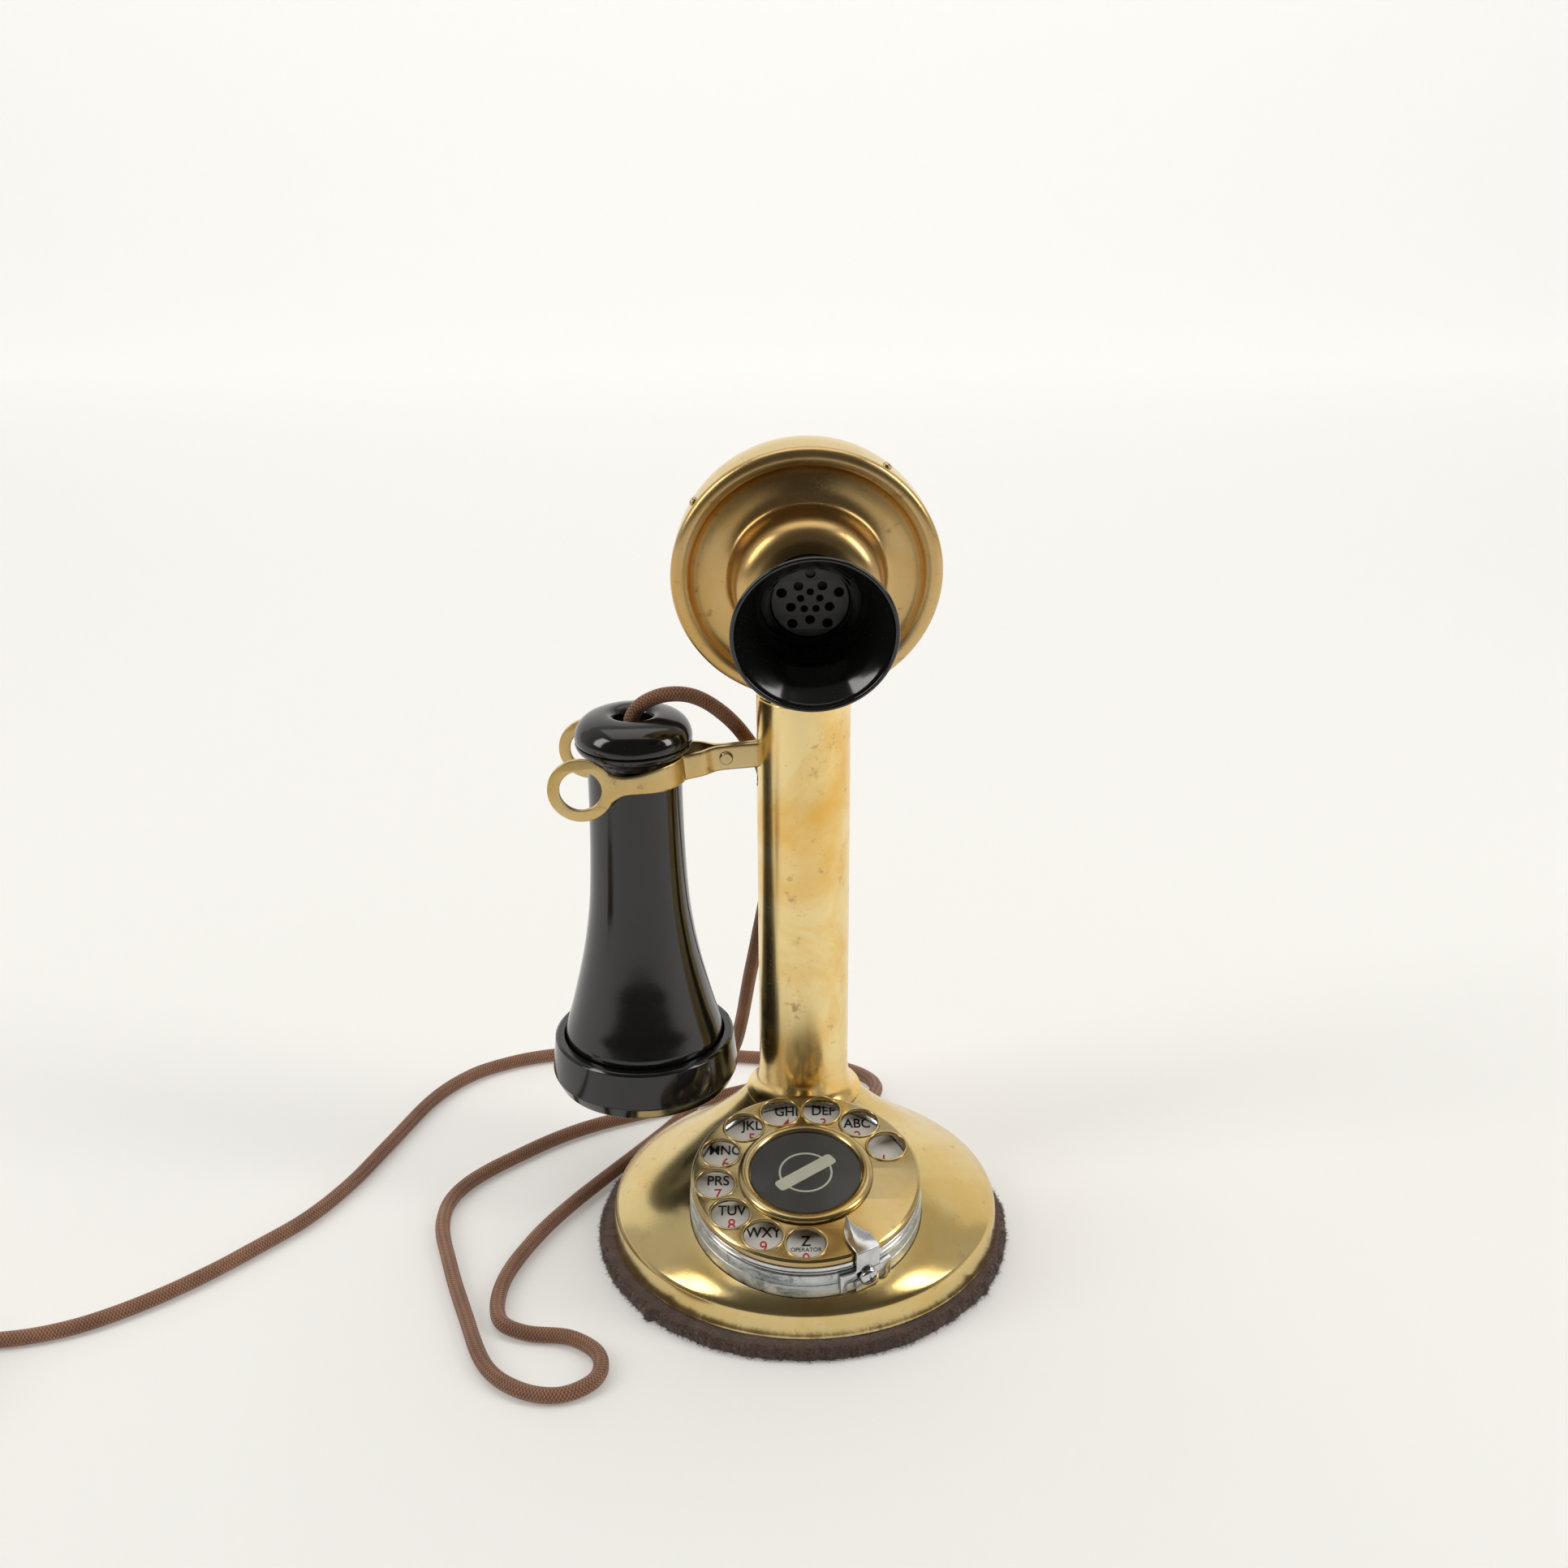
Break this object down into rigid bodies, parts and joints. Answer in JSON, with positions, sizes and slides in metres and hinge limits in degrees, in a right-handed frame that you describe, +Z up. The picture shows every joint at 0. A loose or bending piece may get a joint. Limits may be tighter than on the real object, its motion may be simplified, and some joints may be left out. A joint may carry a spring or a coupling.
{
  "type": "telephone",
  "caption": "Upright brass desk telephone with a rotary dial in its domed base, a tilting mouthpiece on a tubular stem, and a separate receiver that hangs on a forked switch hook",
  "frame": {"origin": "Underside of the felt pad, directly below the centre of the round brass base", "axes": "+Z up, -Y is the front, where the dial and the mouthpiece face; the receiver hangs on the -X side"},
  "size_m": [0.4538, 0.2959, 0.2803],
  "materials": {
    "brass": "polished, aged, with amber spots",
    "chrome": "polished, scratched",
    "zinc": "dull grey, scuffed",
    "steel": "plain",
    "bakelite": "polished black",
    "enamel": "gloss enamel with black and red numbers",
    "felt": "fuzzy felt, ragged at the edge",
    "braid": "braided cotton",
    "card": "printed card",
    "clear": "clear celluloid",
    "copper": "plain copper",
    "rubber": "matte black"
  },
  "bodies": {
    "stand": {"base_shell": "brass", "bottom_plate": "steel", "contact_block": "bakelite", "contact_spring_1": "copper", "contact_spring_2": "copper", "dial_bezel": "chrome", "dial_case": "zinc", "felt_pad": "felt", "finger_stop": "chrome", "finger_stop_screw": "chrome", "gear_plate": "brass", "hook_bracket": "steel", "hook_pivot_pin": "steel", "line_cord": "braid", "line_cord_bushing": "rubber", "line_cord_coil": "braid", "line_cord_sleeve": "brass", "line_cord_tail": "braid", "number_plate": "enamel", "plate_screw_1": "steel", "plate_screw_2": "steel", "plate_screw_3": "steel", "pulse_contacts": "bakelite", "receiver_cord": "braid", "receiver_cord_bushing": "rubber", "spade_tip_1": "copper", "spade_tip_2": "copper", "stem_cap": "brass", "stem_tube": "brass", "terminal_block": "bakelite", "tilt_screw": "steel"},
    "dial_wheel": {"finger_wheel": "brass", "centre_ring": "brass", "number_card": "card", "card_window": "clear", "dial_shaft": "steel", "main_gear": "brass"},
    "governor": {"governor_pinion": "brass", "governor_spindle": "steel"},
    "transmitter": {"transmitter_cup": "brass", "transmitter_face": "brass", "mouthpiece": "bakelite", "mouthpiece_grille": "bakelite", "transmitter_lug": "brass", "transmitter_diaphragm": "steel", "carbon_button": "brass", "rim_screw_1": "brass", "rim_screw_2": "brass", "rim_screw_3": "brass", "rim_screw_4": "brass"},
    "hook": {"hook_front_arm": "brass", "hook_rear_arm": "brass", "hook_rivet": "brass"},
    "receiver": {"receiver_shell": "bakelite", "receiver_top_cap": "bakelite", "receiver_ear_cap": "bakelite", "receiver_diaphragm": "steel", "receiver_coil_left": "copper", "receiver_coil_right": "copper", "receiver_magnet": "steel"}
  },
  "joints": [
    {"name": "dial_turn", "type": "hinge", "parent": "stand", "child": "dial_wheel", "pos_m": [0, -0.0274, 0.041], "axis": [0, 0.1942, -0.981], "range_deg": [0, 325], "stiffness_Nm_per_rad": 0.008, "springref_deg": -68.75},
    {"name": "governor_spin", "type": "hinge", "parent": "stand", "child": "governor", "pos_m": [-0.02275, -0.0274, 0.041], "axis": [0, 0.1942, -0.981], "range_deg": [-1300, 0]},
    {"name": "transmitter_tilt", "type": "hinge", "parent": "stand", "child": "transmitter", "pos_m": [0, 0.031, 0.1955], "axis": [0.9991, 0.0419, 0], "range_deg": [-25, 5]},
    {"name": "receiver_lift", "type": "slide", "parent": "stand", "child": "receiver", "axis": [0, 0, 1], "range_m": [0, 0.025], "deforming": ["receiver_cord"]},
    {"name": "hook_raise", "type": "hinge", "parent": "stand", "child": "hook", "pos_m": [0.003, 0.03, 0.1712], "axis": [0, 1, 0], "range_deg": [0, 8]}
  ],
  "couplings": [
    {"joint": "governor_spin", "follows": "dial_turn", "ratio": -4},
    {"joint": "hook_raise", "follows": "receiver_lift", "rad_per_m": 5.5}
  ]
}
